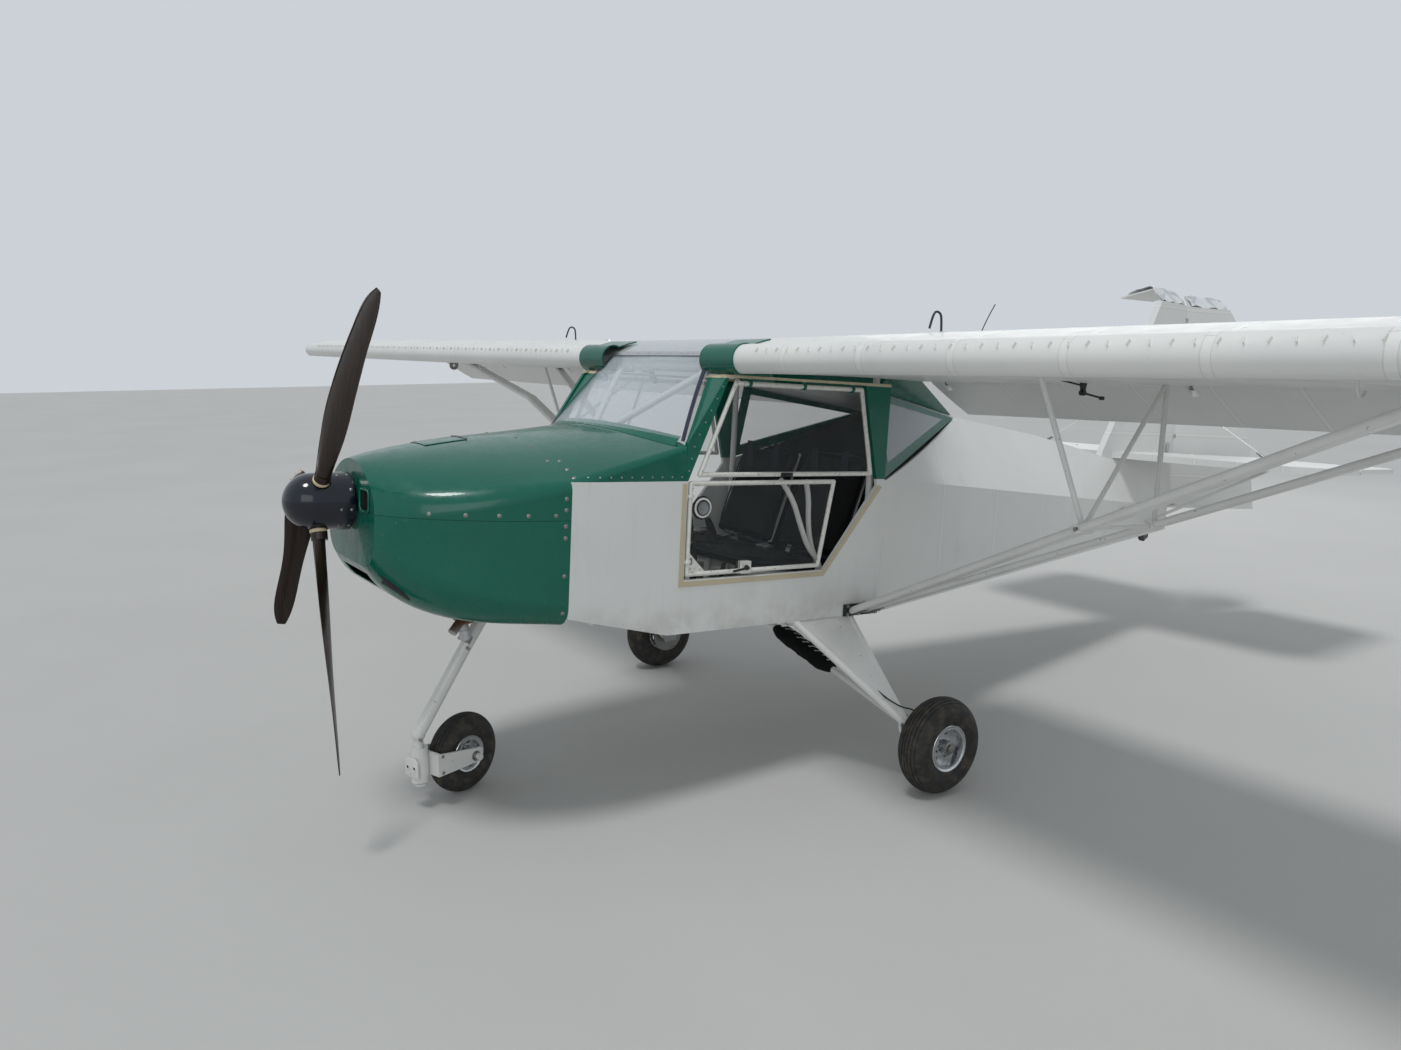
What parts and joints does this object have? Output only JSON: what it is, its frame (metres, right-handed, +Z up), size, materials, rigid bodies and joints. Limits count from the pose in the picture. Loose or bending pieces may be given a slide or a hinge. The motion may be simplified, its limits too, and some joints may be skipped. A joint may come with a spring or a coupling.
{
  "type": "ultralight aircraft",
  "caption": "High-wing, strut-braced ultralight aircraft on a nose-wheel gear, with turning propeller, wheels, control surfaces and hinged clear doors.",
  "frame": {"origin": "on the ground, under the middle of the aircraft's bounding box", "axes": "+X towards the nose, +Y to port, +Z up; it stands on its three tyres"},
  "size_m": [5.3254, 10.1998, 1.8737],
  "materials": {
    "green_paint": "gloss paint",
    "white_fabric": "doped fabric, satin",
    "white_metal": "gloss paint",
    "clear_sheet": "clear plastic sheet",
    "black_cloth": "woven cover",
    "bare_metal": "satin",
    "steel": "worn",
    "engine_block": "dark cast",
    "tyre_rubber": "matt rubber",
    "blade_laminate": "dark varnish",
    "navy_plastic": "gloss",
    "panel_black": "matt"
  },
  "bodies": {
    "airframe": {"belly": "white_fabric", "brakes": "steel", "bungee_covers": "black_cloth", "bungee_struts": "bare_metal", "cabin_frame": "white_metal", "cabin_posts": "green_paint", "cabin_side_port": "white_fabric", "cabin_side_starboard": "white_fabric", "cowl_lower": "green_paint", "cowl_upper": "green_paint", "deck_fairing": "green_paint", "engine": "engine_block", "exhaust": "steel", "fin": "white_fabric", "firewall": "bare_metal", "flaperon_hinges": "white_metal", "gear_cabane": "white_metal", "gear_leg_port": "white_metal", "gear_leg_starboard": "white_metal", "instrument_panel": "panel_black", "jury_struts": "white_metal", "lift_struts_port": "white_metal", "lift_struts_starboard": "white_metal", "nose_leg": "white_metal", "quarter_frames": "green_paint", "quarter_windows": "clear_sheet", "rear_fuselage": "white_fabric", "roof_sheet": "clear_sheet", "scuttle": "green_paint", "seats": "black_cloth", "stabilizers": "white_fabric", "sticks": "steel", "strut_fittings": "bare_metal", "tail_braces": "white_metal", "tail_skid": "steel", "tie_down_eyes": "steel", "windscreen": "clear_sheet", "wing_port": "white_fabric", "wing_root_fairings": "green_paint", "wing_starboard": "white_fabric"},
    "propeller": {"propeller": "blade_laminate", "spinner": "navy_plastic"},
    "nose_fork": {"nose_fork": "white_metal"},
    "nose_wheel": {"nose_tyre": "tyre_rubber", "nose_rim": "bare_metal"},
    "wheel_port": {"main_tyre_port": "tyre_rubber", "main_rim_port": "bare_metal"},
    "wheel_starboard": {"main_tyre_starboard": "tyre_rubber", "main_rim_starboard": "bare_metal"},
    "rudder": {"rudder": "white_fabric"},
    "elevator": {"elevator": "white_fabric"},
    "flaperon_port": {"flaperon_port": "white_fabric"},
    "flaperon_starboard": {"flaperon_starboard": "white_fabric"},
    "door_upper_port": {"door_upper_port": "clear_sheet"},
    "door_upper_starboard": {"door_upper_starboard": "clear_sheet"},
    "door_lower_port": {"door_lower_port": "clear_sheet"},
    "door_lower_starboard": {"door_lower_starboard": "clear_sheet"}
  },
  "joints": [
    {"name": "propeller_spin", "type": "hinge", "parent": "airframe", "child": "propeller", "pos_m": [2.55549, 0, 1.08837], "axis": [0.9979, 0, 0.0645], "continuous": true},
    {"name": "nose_fork_swivel", "type": "hinge", "parent": "airframe", "child": "nose_fork", "pos_m": [2.27145, 0, 0.15], "axis": [0, 0, 1], "range_deg": [-64, 26]},
    {"name": "nose_wheel_spin", "type": "hinge", "parent": "nose_fork", "child": "nose_wheel", "pos_m": [2.0918, -0.06186, 0.142], "axis": [-0.3256, 0.9455, 0], "continuous": true},
    {"name": "wheel_port_spin", "type": "hinge", "parent": "airframe", "child": "wheel_port", "pos_m": [0.7198, 0.92, 0.172], "axis": [0, 1, 0], "continuous": true},
    {"name": "wheel_starboard_spin", "type": "hinge", "parent": "airframe", "child": "wheel_starboard", "pos_m": [0.7198, -0.92, 0.172], "axis": [0, 1, 0], "continuous": true},
    {"name": "rudder_hinge", "type": "hinge", "parent": "airframe", "child": "rudder", "pos_m": [-2.12532, 0, 1.05825], "axis": [-0.0645, 0, 0.9979], "range_deg": [-5, 45]},
    {"name": "elevator_hinge", "type": "hinge", "parent": "airframe", "child": "elevator", "pos_m": [-2.04264, 0, 0.95737], "axis": [0, 1, 0], "range_deg": [-25, 25]},
    {"name": "flaperon_port_hinge", "type": "hinge", "parent": "airframe", "child": "flaperon_port", "pos_m": [0.33956, 0.60017, 1.42038], "axis": [-0.0007, 0.9999, 0.0104], "range_deg": [-10, 45]},
    {"name": "flaperon_starboard_hinge", "type": "hinge", "parent": "airframe", "child": "flaperon_starboard", "pos_m": [0.33956, -0.60017, 1.42038], "axis": [0.0007, 0.9999, -0.0104], "range_deg": [-10, 45]},
    {"name": "door_upper_port_hinge", "type": "hinge", "parent": "airframe", "child": "door_upper_port", "pos_m": [0.99994, 0.492, 1.41868], "axis": [0.9979, 0, 0.0645], "range_deg": [0, 80]},
    {"name": "door_upper_starboard_hinge", "type": "hinge", "parent": "airframe", "child": "door_upper_starboard", "pos_m": [0.99994, -0.492, 1.41868], "axis": [-0.9979, 0, -0.0645], "range_deg": [0, 80]},
    {"name": "door_lower_port_hinge", "type": "hinge", "parent": "airframe", "child": "door_lower_port", "pos_m": [1.49111, 0.492, 0.9514], "axis": [0.0645, 0, -0.9979], "range_deg": [0, 80]},
    {"name": "door_lower_starboard_hinge", "type": "hinge", "parent": "airframe", "child": "door_lower_starboard", "pos_m": [1.49111, -0.492, 0.9514], "axis": [-0.0645, 0, 0.9979], "range_deg": [0, 80]}
  ]
}
